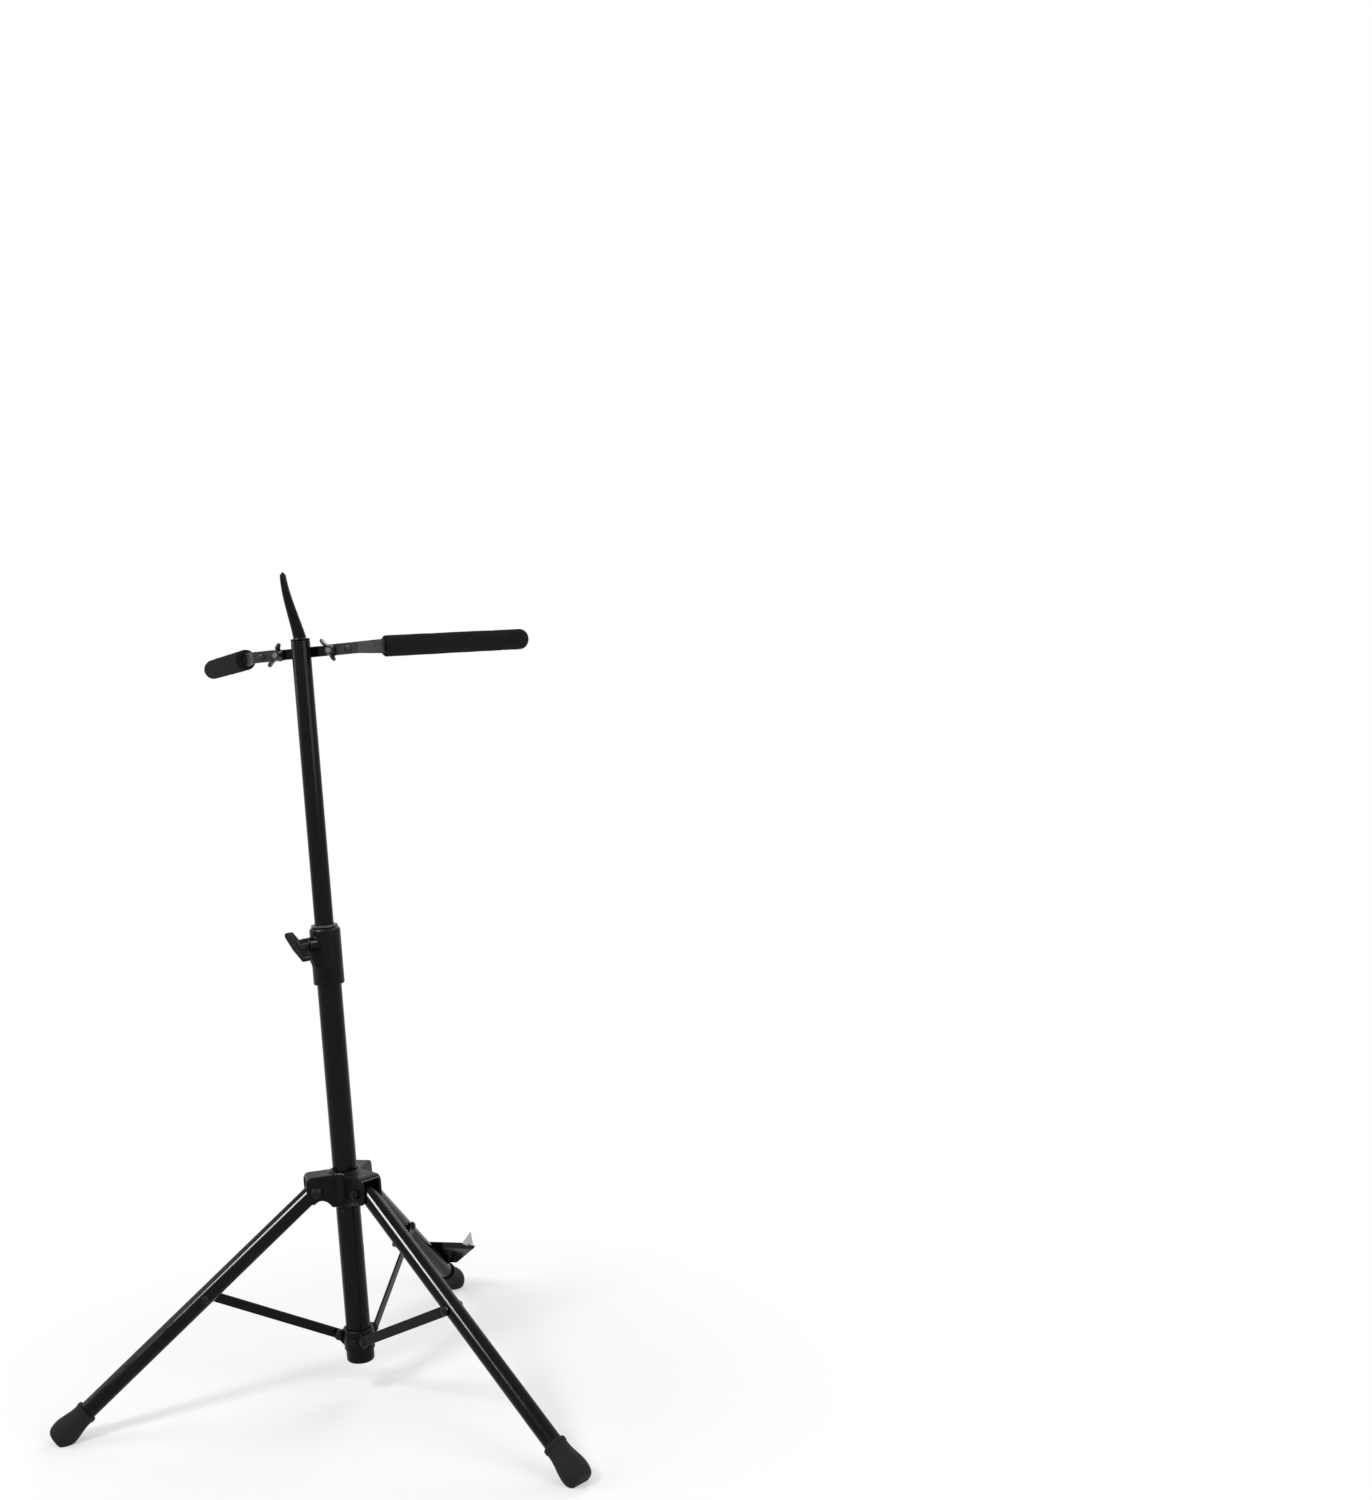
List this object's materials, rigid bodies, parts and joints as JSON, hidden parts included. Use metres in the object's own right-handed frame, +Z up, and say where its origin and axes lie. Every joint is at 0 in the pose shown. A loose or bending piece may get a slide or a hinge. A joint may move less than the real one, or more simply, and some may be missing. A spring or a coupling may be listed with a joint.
{
  "type": "cello stand",
  "caption": "Folding tripod floor stand for a cello: telescoping mast, forked swing arms with padded sleeves, a horn for the bow and a bent sheet tray for the endpin.",
  "frame": {"origin": "on the floor, at the middle of the stand's footprint; the mast's axis stands 83.4 mm behind it, along +Y", "axes": "+Z up along the mast; -Y towards the player's side, where the front leg carries the endpin tray and the arms reach out; +X to the right seen from the tray side looking at the mast"},
  "size_m": [0.6108, 0.5328, 0.9384],
  "materials": {
    "gloss_black_paint": "gloss",
    "matt_black_plastic": "matte",
    "greyed_steel": "satin",
    "blackened_steel": "satin",
    "zinc_steel": "satin",
    "black_foam": "matte",
    "black_rubber": "matte",
    "dark_nylon": "satin",
    "browned_brass": "satin"
  },
  "bodies": {
    "base": {"lower_tube": "gloss_black_paint", "hub_stop_pin": "blackened_steel", "lower_end_cap": "matt_black_plastic", "lower_hub": "matt_black_plastic", "lower_hub_screw": "blackened_steel", "strut_rivet_inner_front": "blackened_steel", "strut_rivet_inner_right": "blackened_steel", "strut_rivet_inner_left": "blackened_steel", "clamp_collar": "matt_black_plastic", "tube_liner": "dark_nylon"},
    "hub": {"hub": "matt_black_plastic", "leg_bolt_front": "blackened_steel", "leg_bolt_right": "blackened_steel", "leg_bolt_left": "blackened_steel", "leg_nut_front": "blackened_steel", "leg_nut_right": "blackened_steel", "leg_nut_left": "blackened_steel"},
    "leg_front": {"leg_front": "gloss_black_paint", "leg_rivet_front": "blackened_steel", "foot_front": "black_rubber", "endpin_tray": "gloss_black_paint", "tray_screw_1": "blackened_steel", "tray_screw_2": "blackened_steel", "endpin_cup": "browned_brass"},
    "leg_right": {"leg_right": "gloss_black_paint", "leg_rivet_right": "blackened_steel", "foot_right": "black_rubber"},
    "leg_left": {"leg_left": "gloss_black_paint", "leg_rivet_left": "blackened_steel", "foot_left": "black_rubber"},
    "strut_front": {"strut_front": "gloss_black_paint", "strut_rivet_outer_front": "blackened_steel"},
    "strut_right": {"strut_right": "gloss_black_paint", "strut_rivet_outer_right": "blackened_steel"},
    "strut_left": {"strut_left": "gloss_black_paint", "strut_rivet_outer_left": "blackened_steel"},
    "clamp_shoe": {"clamp_shoe": "dark_nylon"},
    "clamp_screw": {"clamp_screw": "zinc_steel", "clamp_knob": "matt_black_plastic"},
    "guide_bush": {"guide_bush": "dark_nylon"},
    "mast": {"upper_tube": "gloss_black_paint", "bow_holder": "matt_black_plastic", "cross_bar": "gloss_black_paint", "arm_rivet_right": "greyed_steel", "arm_rivet_left": "greyed_steel", "wing_bolt_right": "zinc_steel", "wing_bolt_left": "zinc_steel"},
    "wing_nut_right": {"wing_nut_right": "greyed_steel"},
    "wing_nut_left": {"wing_nut_left": "greyed_steel"},
    "arm_right": {"arm_strap_right": "greyed_steel", "arm_rod_right": "greyed_steel", "foam_sleeve_right": "black_foam"},
    "arm_left": {"arm_strap_left": "greyed_steel", "arm_rod_left": "greyed_steel", "foam_sleeve_left": "black_foam"}
  },
  "joints": [
    {"name": "hub_slide", "type": "slide", "parent": "base", "child": "hub", "axis": [0, 0, 1], "range_m": [0, 0.1586]},
    {"name": "leg_front_fold", "type": "hinge", "parent": "hub", "child": "leg_front", "pos_m": [0, 0.04743, 0.239], "axis": [1, 0, 0], "range_deg": [0, 51.5]},
    {"name": "leg_right_fold", "type": "hinge", "parent": "hub", "child": "leg_right", "pos_m": [0.03118, 0.10143, 0.239], "axis": [-0.5, 0.866, 0], "range_deg": [0, 51.5]},
    {"name": "leg_left_fold", "type": "hinge", "parent": "hub", "child": "leg_left", "pos_m": [-0.03118, 0.10143, 0.239], "axis": [-0.5, -0.866, 0], "range_deg": [0, 51.5]},
    {"name": "strut_front_swing", "type": "hinge", "parent": "base", "child": "strut_front", "pos_m": [0, 0.06143, 0.068], "axis": [-1, 0, 0], "range_deg": [0, 59]},
    {"name": "strut_right_swing", "type": "hinge", "parent": "base", "child": "strut_right", "pos_m": [0.01905, 0.09443, 0.068], "axis": [0.5, -0.866, 0], "range_deg": [0, 59]},
    {"name": "strut_left_swing", "type": "hinge", "parent": "base", "child": "strut_left", "pos_m": [-0.01905, 0.09443, 0.068], "axis": [0.5, 0.866, 0], "range_deg": [0, 59]},
    {"name": "clamp_shoe_slide", "type": "slide", "parent": "base", "child": "clamp_shoe", "axis": [0.5, 0.866, 0], "range_m": [0, 0.0011]},
    {"name": "clamp_turn", "type": "hinge", "parent": "clamp_shoe", "child": "clamp_screw", "pos_m": [0, 0.08343, 0.5193], "axis": [0.5, 0.866, 0], "range_deg": [0, 360]},
    {"name": "mast_slide", "type": "slide", "parent": "base", "child": "guide_bush", "axis": [0, 0, 1], "range_m": [-0.26, 0.13]},
    {"name": "mast_turn", "type": "hinge", "parent": "guide_bush", "child": "mast", "pos_m": [0, 0.08343, 0.35], "axis": [0, 0, 1], "range_deg": [-180, 180]},
    {"name": "wing_nut_right_turn", "type": "hinge", "parent": "mast", "child": "wing_nut_right", "pos_m": [0.033, 0.0757, 0.849], "axis": [0, 1, 0], "range_deg": [0, 360]},
    {"name": "wing_nut_left_turn", "type": "hinge", "parent": "mast", "child": "wing_nut_left", "pos_m": [-0.033, 0.0757, 0.849], "axis": [0, 1, 0], "range_deg": [0, 360]},
    {"name": "arm_right_fold", "type": "hinge", "parent": "mast", "child": "arm_right", "pos_m": [0.054, 0.0739, 0.849], "axis": [0, 1, 0], "range_deg": [0, 90]},
    {"name": "arm_left_fold", "type": "hinge", "parent": "mast", "child": "arm_left", "pos_m": [-0.054, 0.0739, 0.849], "axis": [0, -1, 0], "range_deg": [0, 90]}
  ],
  "couplings": [
    {"joint": "leg_front_fold", "follows": "hub_slide", "rad_per_m": 5.6666},
    {"joint": "leg_right_fold", "follows": "hub_slide", "rad_per_m": 5.6666},
    {"joint": "leg_left_fold", "follows": "hub_slide", "rad_per_m": 5.6666},
    {"joint": "strut_front_swing", "follows": "hub_slide", "rad_per_m": 6.4924},
    {"joint": "strut_right_swing", "follows": "hub_slide", "rad_per_m": 6.4924},
    {"joint": "strut_left_swing", "follows": "hub_slide", "rad_per_m": 6.4924},
    {"joint": "clamp_shoe_slide", "follows": "clamp_turn", "m_per_rad": 0.000159}
  ]
}
